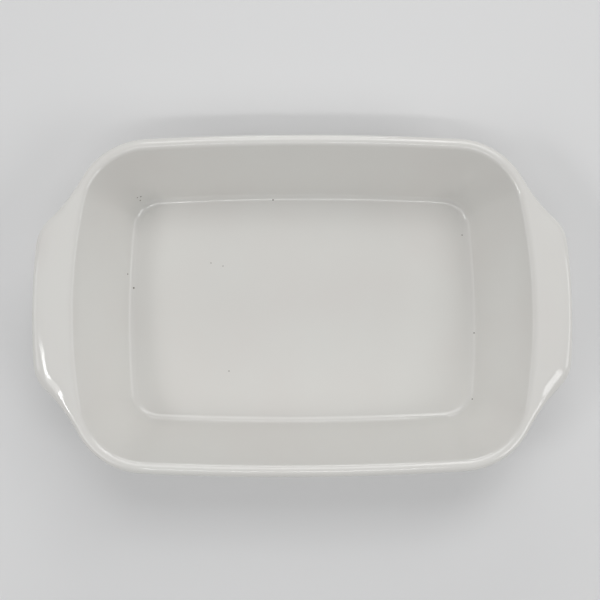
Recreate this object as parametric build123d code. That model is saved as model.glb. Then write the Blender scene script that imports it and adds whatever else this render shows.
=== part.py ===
from build123d import *
from math import sqrt
import os

# A rectangular stoneware dish for lasagne, with a wing handle at each end.
# It stands on a bare clay foot ring, and a white gloss glaze covers the rest.
# The origin is on the table, under the middle of the dish.
# X runs from handle to handle, Y runs across the dish, and Z is up.
# Sizes are in millimetres.

# Inside of the dish
inside_length = 307.4             # at the top edge
inside_width = 214.4              # at the top edge
inside_depth = 54.0
inside_corner_radius = 44.6
long_side_radius = 1960.0         # the long sides bow out by about 3 mm
short_side_radius = 357.0         # the short sides bow out by about 6 mm
wall_spread = 24.6                # how far the walls lean out on the way up
floor_short_radius = 700.0        # the floor's ends are straighter than the rim's
floor_fillet = 6.5

# Walls and rim
wall_thickness = 5.6              # measured level
floor_thickness = 5.5
base_edge_radius = 8.0            # where the walls turn under to the base
rim_width = 7.1
rim_depth = 8.0
rim_inner_round = 4.2
rim_outer_round = 4.6             # on the upper edge of the rim and handles
rim_lower_bevel = 1.4             # on their lower edge

# Handles
handle_reach = 19.2               # past the rim's outer edge
handle_end_radius = 600.0
handle_corner_radius = 26.5
handle_corner_reach = 37.6        # from the long axis to the middle of the corner's round
handle_flare_radius = 87.5        # the hollow curve that runs out of the handle into the rim

# Foot ring
foot_height = 2.5
foot_width = 6.0
foot_setback = 8.0                # in from the sharp edge of the base
foot_taper = 1.0                  # how far each side of the ring leans in on the way down

# The band of wall beside each round leans the same all the way about, so the round is even.
band_lean = 0.6                   # how far the band leans per millimetre of height
band_share = 0.6                  # its height, as a share of the round's radius
overrun = 5.0                     # how far a cutting shape runs past what it cuts

# Worked out from the sizes above
floor_level = foot_height + floor_thickness
overall_height = floor_level + inside_depth
rim_underside = overall_height - rim_depth
rim_length = inside_length + 2 * rim_width
overall_length = rim_length + 2 * handle_reach
floor_corner_radius = inside_corner_radius - wall_spread
wall_lean = wall_spread / inside_depth
base_growth = wall_thickness - floor_thickness * band_lean    # its sharp edge, past the floor's


def reach_point(first, first_reach, second, second_reach):
    """The point at one reach from each of two points, on the left of the line between them."""
    line = second - first
    along = (first_reach**2 - second_reach**2 + line.length**2) / (2 * line.length)
    across = sqrt(first_reach**2 - along**2)
    unit = line.normalized()
    return first + unit * along + Vector(-unit.Y, unit.X) * across


def outline_face(arcs, growth=0):
    """A face from the arcs of one quarter of its outline, grown evenly by growth.

    The arcs run from the middle of the long side to the middle of the end. Each is its
    centre, its radius, under zero for a hollow, and the outward direction where it ends.
    """
    centre, radius, turn = arcs[0]
    long_middle = centre + Vector(0, radius + growth)
    quarter = [centre + turn * (radius + growth)]
    for centre, radius, next_turn in arcs[1:-1]:
        for direction in ((turn + next_turn).normalized(), next_turn):
            quarter.append(centre + direction * (radius + growth))
        turn = next_turn
    centre, radius, turn = arcs[-1]
    end_middle = centre + turn * (radius + growth)

    edges = []
    for across in (1, -1):
        for along in (1, -1):
            corner = [Vector(along * point.X, across * point.Y) for point in quarter]
            for first in range(0, len(corner) - 1, 2):
                edges.append(ThreePointArc(*corner[first:first + 3]))
        start, end = quarter[0], quarter[-1]
        edges.append(ThreePointArc((-start.X, across * start.Y),
                                   (0, across * long_middle.Y),
                                   (start.X, across * start.Y)))
        edges.append(ThreePointArc((across * end.X, end.Y),
                                   (across * end_middle.X, 0),
                                   (across * end.X, -end.Y)))
    return make_face(edges)


# Arcs of the inside outline at the top edge
to_end = Vector(1, 0)
long_centre = Vector(0, inside_width / 2 - long_side_radius)
short_centre = Vector(inside_length / 2 - short_side_radius, 0)
corner_centre = reach_point(short_centre, short_side_radius - inside_corner_radius,
                            long_centre, long_side_radius - inside_corner_radius)
corner_start = (corner_centre - long_centre).normalized()
corner_end = (corner_centre - short_centre).normalized()

# At the floor the same corner turns further, up to the straighter end. The top edge's end
# is parted at about the same place, so that each stretch of wall has an arc at each level.
floor_run = sqrt((floor_short_radius - floor_corner_radius)**2 - corner_centre.Y**2)
floor_short_centre = Vector(corner_centre.X - floor_run, 0)
floor_corner_end = (corner_centre - floor_short_centre).normalized()
turn_length = ((corner_end - floor_corner_end) * floor_corner_radius).length
parting = corner_end - Vector(-corner_end.Y, corner_end.X) * (turn_length / short_side_radius)
mouth_parting = parting.normalized()

mouth_arcs = [(long_centre, long_side_radius, corner_start),
              (corner_centre, inside_corner_radius, corner_end),
              (short_centre, short_side_radius, mouth_parting),
              (short_centre, short_side_radius, to_end)]
floor_arcs = [(long_centre, long_side_radius - wall_spread, corner_start),
              (corner_centre, floor_corner_radius, corner_end),
              (corner_centre, floor_corner_radius, floor_corner_end),
              (floor_short_centre, floor_short_radius, to_end)]

# Arcs of the outline of the rim and handles
handle_centre = Vector(overall_length / 2 - handle_end_radius, 0)
tip_run = sqrt((handle_end_radius - handle_corner_radius)**2 - handle_corner_reach**2)
tip_centre = handle_centre + Vector(tip_run, handle_corner_reach)
rim_corner_radius = inside_corner_radius + rim_width
flare_centre = reach_point(corner_centre, rim_corner_radius + handle_flare_radius,
                           tip_centre, handle_corner_radius + handle_flare_radius)
rim_arcs = [(long_centre, long_side_radius + rim_width, corner_start),
            (corner_centre, rim_corner_radius, (flare_centre - corner_centre).normalized()),
            (flare_centre, -handle_flare_radius, (flare_centre - tip_centre).normalized()),
            (tip_centre, handle_corner_radius, (tip_centre - handle_centre).normalized()),
            (handle_centre, handle_end_radius, to_end)]


def level_faces(form):
    """The form's flat level faces, from the lowest to the highest."""
    return form.faces().filter_by(Axis.Z).sort_by(Axis.Z)


def wall_outline(arcs, arcs_level, level, growth=0):
    """An outline at a level, as wide as a band makes it that has these arcs at another."""
    return Pos(0, 0, level) * outline_face(arcs, growth + (level - arcs_level) * band_lean)


def outside_form():
    """The outside of the walls, from the base up to the rim, with the base's edge rounded."""
    band_top = foot_height + base_edge_radius * band_share
    outlines = [wall_outline(floor_arcs, floor_level, foot_height, wall_thickness),
                wall_outline(floor_arcs, floor_level, band_top, wall_thickness),
                Pos(0, 0, rim_underside) * outline_face(mouth_arcs,
                                                        wall_thickness - rim_depth * wall_lean)]
    form = loft(outlines, ruled=True)
    return fillet(level_faces(form)[0].edges(), base_edge_radius)


def inside_form():
    """The space inside the dish, with the floor's edge rounded."""
    lower_band_top = floor_level + floor_fillet * band_share
    upper_band_bottom = overall_height - rim_inner_round * band_share
    outlines = [wall_outline(floor_arcs, floor_level, floor_level),
                wall_outline(floor_arcs, floor_level, lower_band_top),
                wall_outline(mouth_arcs, overall_height, upper_band_bottom),
                wall_outline(mouth_arcs, overall_height, overall_height)]
    form = loft(outlines, ruled=True)
    return fillet(level_faces(form)[0].edges(), floor_fillet)


def rim_and_handles():
    """The plate that the rim and both handles are cut from, with its outer edges eased."""
    band_height = rim_outer_round * band_share
    outlines = [Pos(0, 0, rim_underside) * outline_face(rim_arcs),
                Pos(0, 0, overall_height - band_height) * outline_face(rim_arcs),
                Pos(0, 0, overall_height) * outline_face(rim_arcs, -band_height * band_lean)]
    plate = loft(outlines, ruled=True)
    plate = chamfer(level_faces(plate)[0].edges(), rim_lower_bevel)
    return fillet(level_faces(plate)[-1].edges(), rim_outer_round)


def dish_form():
    """The dish above its foot ring, in one piece."""
    form = outside_form() + rim_and_handles() - inside_form()
    mouth = level_faces(form)[-1].inner_wires()[0]
    return fillet(mouth.edges(), rim_inner_round)


def foot_form(setback, taper):
    """A block as high as the foot, set back from the base's edge, that narrows by taper."""
    growth = base_growth - setback
    return loft([outline_face(floor_arcs, growth - taper),
                 Pos(0, 0, foot_height) * outline_face(floor_arcs, growth)], ruled=True)


def make_foot_ring():
    """The bare clay ring that the dish stands on, narrower at the bottom."""
    return foot_form(foot_setback, foot_taper) - foot_form(foot_setback + foot_width, -foot_taper)


def beyond_rim(side):
    """The space past the rim at one end, where the clay belongs to the handle."""
    reach = handle_reach + overrun
    space = Box(reach, overall_length, overall_length)
    return Pos(side * (rim_length + reach) / 2, 0, 0) * space


form = dish_form()
nodes = {
    "tub": form - beyond_rim(1) - beyond_rim(-1),
    "left_handle": form & beyond_rim(-1),
    "right_handle": form & beyond_rim(1),
    "foot_ring": make_foot_ring(),
}

os.makedirs("parts", exist_ok=True)
for name, shape in nodes.items():
    export_step(shape, f"parts/{name}.step")
    print(name, "volume", round(shape.volume), "valid", shape.is_valid)
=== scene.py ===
# %% [markdown]
# # A white stoneware lasagna dish, seen from above
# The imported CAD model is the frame: every piece made here sits where its solid says.
# Two pieces dress it. One is the glazed dish with its handles, the other the bare foot ring.

# %% Load the frame
import bmesh
import bpy
from math import atan2, cos, pi, radians, sin, sqrt
from mathutils import Matrix, Vector
from mathutils.bvhtree import BVHTree
from mathutils.geometry import intersect_sphere_sphere_2d


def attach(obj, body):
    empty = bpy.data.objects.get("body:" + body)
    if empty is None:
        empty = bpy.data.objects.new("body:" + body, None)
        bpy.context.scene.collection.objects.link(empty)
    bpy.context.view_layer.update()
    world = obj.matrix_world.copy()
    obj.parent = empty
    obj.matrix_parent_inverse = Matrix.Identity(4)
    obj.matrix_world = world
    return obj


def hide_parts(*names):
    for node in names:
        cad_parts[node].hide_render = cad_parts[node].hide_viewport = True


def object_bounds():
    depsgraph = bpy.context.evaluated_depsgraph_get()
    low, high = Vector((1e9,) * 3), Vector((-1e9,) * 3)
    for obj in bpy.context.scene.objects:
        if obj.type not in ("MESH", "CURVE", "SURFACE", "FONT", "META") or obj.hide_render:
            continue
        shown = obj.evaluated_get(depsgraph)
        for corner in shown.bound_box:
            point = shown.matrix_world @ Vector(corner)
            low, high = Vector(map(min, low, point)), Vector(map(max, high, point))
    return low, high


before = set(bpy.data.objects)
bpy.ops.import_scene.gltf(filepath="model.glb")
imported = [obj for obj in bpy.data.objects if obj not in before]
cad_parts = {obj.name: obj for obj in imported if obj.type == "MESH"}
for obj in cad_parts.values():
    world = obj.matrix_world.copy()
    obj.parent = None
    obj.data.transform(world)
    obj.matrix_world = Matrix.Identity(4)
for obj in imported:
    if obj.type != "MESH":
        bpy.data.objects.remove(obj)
cad_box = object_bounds()
print("nodes", sorted(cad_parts))
print("cad box", [[round(v, 4) for v in corner] for corner in cad_box])

# %% [markdown]
# ## Sizes
# The dish is drawn in metres, from the same sizes as its solid model, so the two agree.
# The outside size is read from the frame, and the rest are the maker's own measures.

# %% Sizes of the dish
mm = 0.001
low_corner, high_corner = cad_box
overall_length = high_corner[0] - low_corner[0]
overall_height = high_corner[2]

inside_length = 307.4 * mm
inside_width = 214.4 * mm
inside_corner = 44.6 * mm
inside_long_bow = 1960.0 * mm
inside_short_bow = 357.0 * mm
inside_depth = 54.0 * mm
floor_level = overall_height - inside_depth

wall_spread = 24.6 * mm
floor_length = 251.9 * mm    # between the middles of its ends, which bow less than the mouth's
floor_width = inside_width - 2 * wall_spread
floor_corner = inside_corner - wall_spread
floor_long_bow = inside_long_bow - wall_spread
floor_short_bow = 700.0 * mm

wall_thickness = 5.6 * mm
foot_height = 2.5 * mm
floor_thickness = floor_level - foot_height
rim_width = 7.1 * mm
rim_depth = 8.0 * mm
rim_underside = overall_height - rim_depth

base_edge_radius = 8.0 * mm
floor_fillet = 6.5 * mm
mouth_round = 4.2 * mm

handle_end_bow = 600.0 * mm
handle_corner = 26.5 * mm
handle_corner_reach = 37.6 * mm
handle_flare = 87.5 * mm

# A short band of wall beside each round leans a little more than the rest of the wall.
band_lean = 0.6
band_share = 0.6
print("inside floor at", round(floor_level / mm, 1), "mm,", round(floor_width / mm, 1), "mm wide")

# %% [markdown]
# ## Camera
# The photo was taken from almost straight above, a little below the middle of the picture.
# Tilt and roll come from how much smaller the floor's outline looks than the rim's.

# %% Camera
camera_place = Vector((-9.2 * mm, -30.4 * mm, overall_height + 450 * mm))
camera_tilt = radians(4.08)
camera_roll = radians(-0.83)
camera_turn = radians(-0.24)
camera_focus = 682.9
photo_width = 600

camera_data = bpy.data.cameras.new("camera")
camera_data.sensor_width = 36
camera_data.lens = camera_focus / photo_width * camera_data.sensor_width
camera = bpy.data.objects.new("camera", camera_data)
bpy.context.scene.collection.objects.link(camera)
facing = (Matrix.Rotation(camera_turn, 4, "Z") @ Matrix.Rotation(camera_tilt, 4, "X")
          @ Matrix.Rotation(camera_roll, 4, "Y"))
camera.matrix_world = Matrix.Translation(camera_place) @ facing
bpy.context.scene.camera = camera
bpy.context.scene.view_settings.view_transform = "Standard"
print("lens", round(camera_data.lens, 1), "mm")

# %% [markdown]
# ## Outlines drawn with a compass
# Every outline of the dish is a run of arcs. A vertex is spun about each arc's centre in
# turn, as a compass would draw it. One quarter is enough, because mirrors make the rest.


# %% Compass
def compass(mesh, start, arcs, level):
    """Draws a quarter outline: each arc is its centre, the point where it ends, and its steps."""
    tip = mesh.verts.new((start.x, start.y, level))
    drawn = []
    for centre, end, steps in arcs:
        old_edges = set(mesh.edges)
        start_side = Vector((tip.co.x, tip.co.y)) - centre
        end_side = end - centre
        turn = atan2(end_side.y, end_side.x) - atan2(start_side.y, start_side.x)
        if abs(turn) > pi:
            turn -= 2 * pi if turn > 0 else -2 * pi
        spun = bmesh.ops.spin(mesh, geom=[tip], cent=(centre.x, centre.y, level),
                              axis=(0, 0, 1), angle=turn, steps=steps, use_merge=False,
                              use_duplicate=False)
        tip = [item for item in spun["geom_last"] if isinstance(item, bmesh.types.BMVert)][0]
        drawn += [edge for edge in mesh.edges if edge not in old_edges]
    tip.co.y = 0
    return drawn


def meeting(first, first_reach, second, second_reach):
    """The point at one reach from each of two points, on the left of the line between them."""
    line = second - first
    points = intersect_sphere_sphere_2d(first, first_reach, second, second_reach)
    return max(points, key=lambda point: line.cross(point - first))


def blend(low, high, share):
    """The value at a share of the way from low to high."""
    return low + (high - low) * share


def bowed_corner(half_length, half_width, corner, long_bow, short_bow):
    """Centres of a bowed rectangle's long side, corner and short side, and the arcs' ends."""
    long_centre = Vector((0, half_width - long_bow))
    short_centre = Vector((half_length - short_bow, 0))
    centre = meeting(short_centre, short_bow - corner, long_centre, long_bow - corner)
    start = long_centre + (centre - long_centre).normalized() * long_bow
    end = short_centre + (centre - short_centre).normalized() * short_bow
    return long_centre, centre, short_centre, start, end


side_steps = 10
corner_steps = 14
end_steps = 14


def body_outline(mesh, share, growth, level):
    """A quarter of the wall's outline, at a share of the way from the floor to the mouth."""
    half_length = blend(floor_length, inside_length, share) / 2 + growth
    half_width = blend(floor_width, inside_width, share) / 2 + growth
    corner = blend(floor_corner, inside_corner, share) + growth
    long_bow = 1 / blend(1 / floor_long_bow, 1 / inside_long_bow, share) + growth
    short_bow = 1 / blend(1 / floor_short_bow, 1 / inside_short_bow, share) + growth
    long_centre, centre, short_centre, start, end = bowed_corner(
        half_length, half_width, corner, long_bow, short_bow)
    arcs = [(long_centre, start, side_steps), (centre, end, corner_steps),
            (short_centre, Vector((half_length, 0)), end_steps)]
    return compass(mesh, Vector((0, half_width)), arcs, level)


# %% [markdown]
# The rim's own outline runs out round the handle: a hollow curve leaves the body's corner,
# then come the handle's round corner and its nearly straight end. The steps of these arcs
# add up to those of the wall's outline, so that the two can be bridged with plain quads.

# %% Rim and handle outline
rim_corner_steps = 11
flare_steps = 6
tip_corner_steps = 5
tip_steps = corner_steps + end_steps - rim_corner_steps - flare_steps - tip_corner_steps

rim_corner = inside_corner + rim_width
rim_half_width = inside_width / 2 + rim_width
side_centre, corner_centre, mouth_end_centre, side_end, _ = bowed_corner(
    inside_length / 2 + rim_width, rim_half_width, rim_corner,
    inside_long_bow + rim_width, inside_short_bow + rim_width)
end_centre = Vector((overall_length / 2 - handle_end_bow, 0))
tip_run = sqrt((handle_end_bow - handle_corner)**2 - handle_corner_reach**2)
tip_centre = Vector((end_centre.x + tip_run, handle_corner_reach))
flare_centre = meeting(corner_centre, rim_corner + handle_flare,
                       tip_centre, handle_corner + handle_flare)


def rim_outline(mesh, level):
    """A quarter of the outline of the rim and its handle."""
    flare_start = corner_centre + (flare_centre - corner_centre).normalized() * rim_corner
    flare_end = tip_centre + (flare_centre - tip_centre).normalized() * handle_corner
    tip_end = end_centre + (tip_centre - end_centre).normalized() * handle_end_bow
    arcs = [(side_centre, side_end, side_steps), (corner_centre, flare_start, rim_corner_steps),
            (flare_centre, flare_end, flare_steps), (tip_centre, tip_end, tip_corner_steps),
            (end_centre, Vector((overall_length / 2, 0)), tip_steps)]
    return compass(mesh, Vector((0, rim_half_width)), arcs, level)


# %% [markdown]
# ## The glazed dish
# The real dish is one casting: floor, walls, rim and handles under one glaze. Here its
# outlines are drawn at their levels and bridged, mirrored into a whole, and each sharp
# loop is bevelled to its round. A subdivision then makes the curves smooth.

# %% Outlines from the base, over the rim, to the floor
wall_lean = wall_spread / inside_depth
root_growth = wall_thickness - rim_depth * wall_lean
base_growth = wall_thickness - floor_thickness * band_lean
base_inset = 16 * mm
floor_inset = 9 * mm
halfway = 0.5
near_root_share = 0.93


def floor_band(level, thickness=0.0):
    """Share, growth and level of an outline in the band by the floor."""
    return 0, thickness + (level - floor_level) * band_lean, level


def between(first, second, share):
    """Share, growth and level of an outline between two others."""
    return tuple(blend(low, high, share) for low, high in zip(first, second))


outer_low = floor_band(foot_height + base_edge_radius * band_share, wall_thickness)
outer_high = (1, root_growth, rim_underside)
mouth_band = mouth_round * band_share
inner_high = (1, -mouth_band * band_lean, overall_height - mouth_band)
inner_low = floor_band(floor_level + floor_fillet * band_share)

outline_plan = [
    ("base middle", body_outline, (0, base_growth - base_inset, foot_height)),
    ("base edge", body_outline, (0, base_growth, foot_height)),
    ("outer wall low", body_outline, outer_low),
    ("outer wall middle", body_outline, between(outer_low, outer_high, halfway)),
    ("outer wall high", body_outline, between(outer_low, outer_high, near_root_share)),
    ("rim root", body_outline, outer_high),
    ("rim lower edge", rim_outline, (rim_underside,)),
    ("rim upper edge", rim_outline, (overall_height,)),
    ("mouth", body_outline, (1, 0, overall_height)),
    ("inner wall high", body_outline, inner_high),
    ("inner wall middle", body_outline, between(inner_low, inner_high, halfway)),
    ("inner wall low", body_outline, inner_low),
    ("floor edge", body_outline, floor_band(floor_level)),
    ("floor middle", body_outline, (0, -floor_inset, floor_level)),
]

dish_mesh = bmesh.new()
mark = dish_mesh.edges.layers.int.new("outline")
outlines = []
for number, (name, draw, place) in enumerate(outline_plan, start=1):
    edges = draw(dish_mesh, *place)
    for edge in edges:
        edge[mark] = number
    outlines.append(edges)
for first, second in zip(outlines, outlines[1:]):
    bmesh.ops.bridge_loops(dish_mesh, edges=first + second)
print("quarter", len(dish_mesh.verts), "points", len(dish_mesh.faces), "faces")

# %% Mirror the quarter, and close the floor and the base
join_gap = 0.01 * mm


def mirror_quarter(mesh):
    """Mirrors a quarter into a whole, and joins it along the mirrors."""
    for axis in ("X", "Y"):
        everything = mesh.verts[:] + mesh.edges[:] + mesh.faces[:]
        bmesh.ops.mirror(mesh, geom=everything, axis=axis, merge_dist=join_gap)
    bmesh.ops.remove_doubles(mesh, verts=mesh.verts, dist=join_gap)


def loop_named(mesh, layer, name):
    """The edges that carry an outline's number."""
    number = [entry[0] for entry in outline_plan].index(name) + 1
    return [edge for edge in mesh.edges if edge[layer] == number]


mirror_quarter(dish_mesh)
for name in ("base middle", "floor middle"):
    bmesh.ops.contextual_create(dish_mesh, geom=loop_named(dish_mesh, mark, name))
bmesh.ops.recalc_face_normals(dish_mesh, faces=dish_mesh.faces)
open_edges = [edge for edge in dish_mesh.edges if len(edge.link_faces) != 2]
print("whole dish", len(dish_mesh.faces), "faces,", len(open_edges), "open edges")

# %% [markdown]
# A round of radius r between two faces starts some way from their sharp edge. On the dish's
# leaning wall that is a little over half of the radius, and on the rim's square edge it is
# all of it.

# %% Bevel the sharp loops
lean_share = sqrt(1 + band_lean**2) - band_lean
root_round = 2.4 * mm
rim_lower_round = 2.2 * mm
rim_upper_round = 4.3 * mm
rounds = [
    ("base edge", base_edge_radius * lean_share, 5),
    ("rim root", root_round * lean_share, 3),
    ("rim lower edge", rim_lower_round, 4),
    ("rim upper edge", rim_upper_round, 6),
    ("mouth", mouth_round * lean_share, 5),
    ("floor edge", floor_fillet * lean_share, 5),
]
for name, reach, segments in rounds:
    bmesh.ops.bevel(dish_mesh, geom=loop_named(dish_mesh, mark, name), offset=reach,
                    offset_type="OFFSET", segments=segments, profile=0.5, affect="EDGES",
                    clamp_overlap=False, material=-1)
print("bevelled", len(dish_mesh.faces), "faces, lean share", round(lean_share, 3))

# %% Even out the wide level faces
flat_cuts = 7


def cut_level_band(mesh, level, cuts):
    """Cuts the level faces between two outlines into narrower bands."""
    near = 0.001 * mm
    band = [face for face in mesh.faces if len(face.verts) == 4
            and all(abs(vert.co.z - level) < near for vert in face.verts)]
    inside_band = set(band)
    cross = [edge for edge in {edge for face in band for edge in face.edges}
             if all(face in inside_band for face in edge.link_faces)]
    bmesh.ops.subdivide_edges(mesh, edges=cross, cuts=cuts, use_grid_fill=True)
    return len(band)


for level in (overall_height, rim_underside):
    print("level", round(level / mm, 1), "band faces", cut_level_band(dish_mesh, level, flat_cuts))

# %% [markdown]
# The handles aren't flat on top. Each rises a little from the mouth to a crest, and then
# rolls down to its edge, so that a thumb lies well on it. The roll follows the outline. It
# is deepest at the handle's corners, and fades out where the handle narrows into the rim.

# %% Crown of the handles
rise_width = 10 * mm
rise_height = 0.4 * mm
roll_width = 13 * mm
end_roll = 1.5 * mm
corner_roll = 3.6 * mm
plain_width = 9 * mm
full_width = 20 * mm


def past(start, end, point):
    """Whether a point lies on the left of the line from start to end."""
    return (end - start).cross(point - start) > 0


def handle_insets(point):
    """How far a point lies out from the mouth, and in from the outline of rim and handle."""
    if past(mouth_end_centre, corner_centre, point):
        from_mouth = (point - corner_centre).length - inside_corner
    else:
        from_mouth = (point - mouth_end_centre).length - inside_short_bow
    if not past(end_centre, tip_centre, point):
        from_edge = handle_end_bow - (point - end_centre).length
    elif not past(tip_centre, flare_centre, point):
        from_edge = handle_corner - (point - tip_centre).length
    elif past(corner_centre, flare_centre, point):
        from_edge = rim_corner - (point - corner_centre).length
    else:
        from_edge = (point - flare_centre).length - handle_flare
    return from_mouth, from_edge


def crown_drop(point):
    """How far the top of a handle lies below its crest at a point."""
    from_mouth, from_edge = handle_insets(point)
    fade = (from_mouth + from_edge - plain_width) / (full_width - plain_width)
    fade = min(max(fade, 0), 1)
    rise_share = max(1 - from_mouth / rise_width, 0)
    roll_share = max(1 - from_edge / roll_width, 0)
    corner_share = min(point.y / handle_corner_reach, 1)
    roll = blend(end_roll, corner_roll, corner_share**2)
    drop = rise_height * rise_share**2 + roll * roll_share**2
    return drop * fade**2 * (3 - 2 * fade)


crown_foot = rim_underside + rim_lower_round
crowned = [vert for vert in dish_mesh.verts if vert.co.z > crown_foot]
for vert in crowned:
    height_share = (vert.co.z - crown_foot) / (overall_height - crown_foot)
    vert.co.z -= height_share * crown_drop(Vector((abs(vert.co.x), abs(vert.co.y))))
print("crowned points", len(crowned))

# %% Remember where the glaze lies, to place the iron specks on it later
glaze_surface = BVHTree.FromBMesh(dish_mesh)


# %% Make the dish an object
def make_piece(name, mesh, levels):
    """Turns a bmesh into a smooth object, subdivided as often in the view as in the render."""
    for face in mesh.faces:
        face.smooth = True
    data = bpy.data.meshes.new(name)
    mesh.to_mesh(data)
    mesh.free()
    piece = bpy.data.objects.new(name, data)
    bpy.context.scene.collection.objects.link(piece)
    if levels:
        smoothing = piece.modifiers.new("subdivision", "SUBSURF")
        smoothing.levels = levels
        smoothing.render_levels = levels
    return piece


dish = make_piece("glazed_dish", dish_mesh, 1)
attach(dish, "root")
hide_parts("tub", "left_handle", "right_handle")
print("dish faces", len(dish.data.polygons))

# %% [markdown]
# ## The foot ring
# The dish is fired standing on this ring, so it is left bare of glaze. Four outlines round
# its section, bridged in a circle, make it, and its lower edges are bevelled.

# %% Foot ring
foot_width = 6.0 * mm
foot_setback = 8.0 * mm
foot_taper = 1.0 * mm
foot_bevel = 0.6 * mm

ring_mesh = bmesh.new()
ring_mark = ring_mesh.edges.layers.int.new("outline")
ring_outer = base_growth - foot_setback
ring_inner = ring_outer - foot_width
ring_plan = [(ring_outer, foot_height), (ring_outer - foot_taper, 0),
             (ring_inner + foot_taper, 0), (ring_inner, foot_height)]
ring_outlines = []
for number, (growth, level) in enumerate(ring_plan, start=1):
    edges = body_outline(ring_mesh, 0, growth, level)
    for edge in edges:
        edge[ring_mark] = number
    ring_outlines.append(edges)
for first, second in zip(ring_outlines, ring_outlines[1:] + ring_outlines[:1]):
    bmesh.ops.bridge_loops(ring_mesh, edges=first + second)
mirror_quarter(ring_mesh)
bmesh.ops.recalc_face_normals(ring_mesh, faces=ring_mesh.faces)
lower_loops = [edge for edge in ring_mesh.edges if edge[ring_mark] in (2, 3)]
bmesh.ops.bevel(ring_mesh, geom=lower_loops, offset=foot_bevel, offset_type="OFFSET",
                segments=3, profile=0.5, affect="EDGES", clamp_overlap=False, material=-1)
foot = make_piece("bare_foot_ring", ring_mesh, 0)
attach(foot, "root")
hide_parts("foot_ring")
print("foot ring faces", len(foot.data.polygons))

# %% [markdown]
# ## Materials
# Colours are written as sRGB hex values, which one function turns to linear light. One more
# function adds a node with its settings and its links.


# %% Helpers for materials
def colour(hex_value):
    """Linear RGBA of an sRGB hex value such as E8E6E1."""
    channels = [int(hex_value[start:start + 2], 16) / 255 for start in (0, 2, 4)]
    linear = [c / 12.92 if c <= 0.04045 else ((c + 0.055) / 1.055)**2.4 for c in channels]
    return (*linear, 1)


def new_material(name):
    material = bpy.data.materials.new(name)
    material.use_nodes = True
    return material, material.node_tree.nodes["Principled BSDF"]


def add_node(material, kind, settings=None, values=None, links=None):
    """Adds a node, sets its settings and socket values, and links sockets into it."""
    node = material.node_tree.nodes.new(kind)
    for key, value in (settings or {}).items():
        setattr(node, key, value)
    for key, value in (values or {}).items():
        node.inputs[key].default_value = value
    for key, socket in (links or {}).items():
        material.node_tree.links.new(socket, node.inputs[key])
    return node


def link(material, socket, target):
    material.node_tree.links.new(socket, target)


# %% [markdown]
# ### White stoneware glaze
# A gloss glaze is a thin layer of glass. It gives clear highlights with soft edges, and it
# is never quite level: it lies in waves some 10 mm long.

# %% Glaze
glaze, glaze_shader = new_material("white_stoneware_glaze")
glaze_shader.inputs["Roughness"].default_value = 0.09
glaze_shader.inputs["IOR"].default_value = 1.52

glaze_place = add_node(glaze, "ShaderNodeTexCoord")
cloud_length = 60 * mm
cloud = add_node(glaze, "ShaderNodeTexNoise", values={"Scale": 1 / cloud_length, "Detail": 2.0},
                 links={"Vector": glaze_place.outputs["Object"]})
tint = add_node(glaze, "ShaderNodeValToRGB", links={"Fac": cloud.outputs["Fac"]})
tint.color_ramp.elements[0].position = 0.35
tint.color_ramp.elements[0].color = colour("DBD9D5")
tint.color_ramp.elements[1].position = 0.65
tint.color_ramp.elements[1].color = colour("DCDBD7")

# %% [markdown]
# A few grains of iron in the clay melt through the glaze as dark specks. Each place is given
# as seen from above, and a ray cast straight down finds the glaze there. The glaze is dark
# inside a small ball about that point. Each line gives x, y and the ball's radius, in mm.

# %% Iron specks
specks = [
    (-21.5, 80.5, 0.4),
    (-128.0, 24.8, 0.35),
    (-124.3, 14.9, 0.45),
    (-67.6, 33.3, 0.2),
    (-58.7, 31.0, 0.2),
    (119.7, 53.7, 0.25),
    (126.5, -19.5, 0.35),
    (123.7, -67.8, 0.35),
    (-54.1, -46.5, 0.25),
    (-117.6, 80.8, 0.35),
    (-118.6, 78.6, 0.35),
    (-119.8, 79.8, 0.25),
]
speck_edge = 0.3 * mm
above = overall_height * 2
straight_down = (0, 0, -1)
glaze_colour = tint.outputs["Color"]
for x, y, radius in specks:
    centre, _, _, _ = glaze_surface.ray_cast((x * mm, y * mm, above), straight_down)
    reach = add_node(glaze, "ShaderNodeVectorMath", {"operation": "DISTANCE"}, {1: centre},
                     {0: glaze_place.outputs["Object"]})
    print("speck at height", round(centre.z / mm, 1), "mm")
    spot = add_node(glaze, "ShaderNodeMapRange", {"interpolation_type": "SMOOTHSTEP"},
                    {"From Min": radius * mm + speck_edge, "From Max": radius * mm},
                    {"Value": reach.outputs["Value"]})
    speckled = add_node(glaze, "ShaderNodeMix", {"data_type": "RGBA"}, {7: colour("6B635A")},
                        {0: spot.outputs["Result"], 6: glaze_colour})
    glaze_colour = speckled.outputs[2]
link(glaze, glaze_colour, glaze_shader.inputs["Base Color"])

# %% Waves in the glaze
wave_length = 9 * mm
wave = add_node(glaze, "ShaderNodeTexNoise", values={"Scale": 1 / wave_length, "Detail": 1.0},
                links={"Vector": glaze_place.outputs["Object"]})
unevenness = add_node(glaze, "ShaderNodeBump",
                      values={"Strength": 0.12, "Distance": 0.1 * mm},
                      links={"Height": wave.outputs["Fac"]})
link(glaze, unevenness.outputs["Normal"], glaze_shader.inputs["Normal"])
dish.data.materials.append(glaze)

# %% [markdown]
# ### Bare clay
# The foot ring shows the fired clay: matt, buff, with fine grit.

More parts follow.
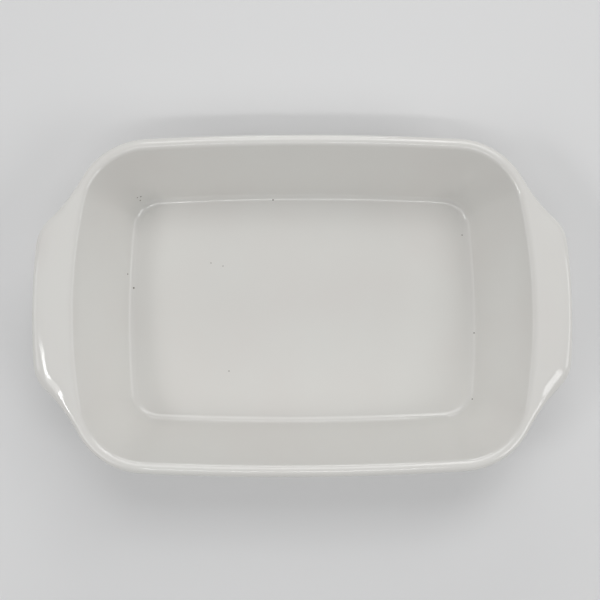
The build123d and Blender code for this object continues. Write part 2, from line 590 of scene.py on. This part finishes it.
# %% Clay
clay, clay_shader = new_material("fired_stoneware_clay")
clay_shader.inputs["Roughness"].default_value = 0.85
clay_shader.inputs["IOR"].default_value = 1.45
clay_place = add_node(clay, "ShaderNodeTexCoord")
grit_size = 1.2 * mm
grit = add_node(clay, "ShaderNodeTexNoise", values={"Scale": 1 / grit_size, "Detail": 4.0},
                links={"Vector": clay_place.outputs["Object"]})
clay_tint = add_node(clay, "ShaderNodeValToRGB", links={"Fac": grit.outputs["Fac"]})
clay_tint.color_ramp.elements[0].position = 0.3
clay_tint.color_ramp.elements[0].color = colour("B5A48C")
clay_tint.color_ramp.elements[1].position = 0.7
clay_tint.color_ramp.elements[1].color = colour("CDBFA9")
link(clay, clay_tint.outputs["Color"], clay_shader.inputs["Base Color"])
grain = add_node(clay, "ShaderNodeBump", values={"Strength": 0.3, "Distance": 0.2 * mm},
                 links={"Height": grit.outputs["Fac"]})
link(clay, grain.outputs["Normal"], clay_shader.inputs["Normal"])
foot.data.materials.append(clay)

# %% [markdown]
# ## Floor and light
# The dish stands on a plain pale floor. Wide softboxes give it even light and soft, broad
# highlights. A narrow strip lamp draws the thin line along the floor's far edge, and a small
# key lamp the streak on the left handle's near corner.

# %% Floor
floor_reach = 3.0
floor_mesh = bmesh.new()
bmesh.ops.create_grid(floor_mesh, x_segments=2, y_segments=2, size=floor_reach)
floor_data = bpy.data.meshes.new("studio_floor")
floor_mesh.to_mesh(floor_data)
floor_mesh.free()
studio_floor = bpy.data.objects.new("studio_floor", floor_data)
bpy.context.scene.collection.objects.link(studio_floor)

floor_paint, floor_shader = new_material("studio_floor_paint")
floor_shader.inputs["Base Color"].default_value = colour("DDDDDD")
floor_shader.inputs["Roughness"].default_value = 0.9
floor_shader.inputs["Specular IOR Level"].default_value = 0.1
studio_floor.data.materials.append(floor_paint)

# %% Lamps
world = bpy.data.worlds.new("studio_air")
bpy.context.scene.world = world
world.use_nodes = True
background = world.node_tree.nodes["Background"]
background.inputs["Color"].default_value = colour("F4F5F7")
background.inputs["Strength"].default_value = 0.24


def add_lamp(name, azimuth, elevation, distance, width, height, watts):
    """An area lamp aimed at the dish, with its angles in degrees and its sizes in metres.

    The azimuth is measured from +X towards +Y, and the elevation from the floor.
    """
    data = bpy.data.lights.new(name, "AREA")
    data.shape = "RECTANGLE"
    data.size = width
    data.size_y = height
    data.energy = watts
    lamp = bpy.data.objects.new(name, data)
    bpy.context.scene.collection.objects.link(lamp)
    turn, rise = radians(azimuth), radians(elevation)
    place = Vector((cos(turn) * cos(rise), sin(turn) * cos(rise), sin(rise))) * distance
    lamp.location = place
    lamp.rotation_euler = place.to_track_quat("Z", "Y").to_euler()
    return lamp


lamp_reach = 1.5
lamps = [
    add_lamp("back_softbox", 90, 57, lamp_reach, 0.9, 0.6, 4.8),
    add_lamp("low_back_softbox", 90, 20, lamp_reach, 0.6, 0.35, 3.2),
    add_lamp("front_strip_lamp", 268, 64, lamp_reach, 0.85, 0.08, 2.9),
    add_lamp("left_key_lamp", 193, 46, lamp_reach, 0.3, 0.2, 2.2),
    add_lamp("front_left_softbox", 215, 44, lamp_reach, 0.6, 0.45, 2.0),
    add_lamp("low_left_softbox", 180, 20, lamp_reach, 0.6, 0.5, 1.5),
    add_lamp("front_right_softbox", 330, 42, lamp_reach, 0.6, 0.45, 3.6),
    add_lamp("back_right_softbox", 60, 42, lamp_reach, 0.6, 0.45, 2.5),
    add_lamp("low_right_softbox", 0, 20, lamp_reach, 0.6, 0.5, 2.0),
]
print("lamps", [lamp.name for lamp in lamps])
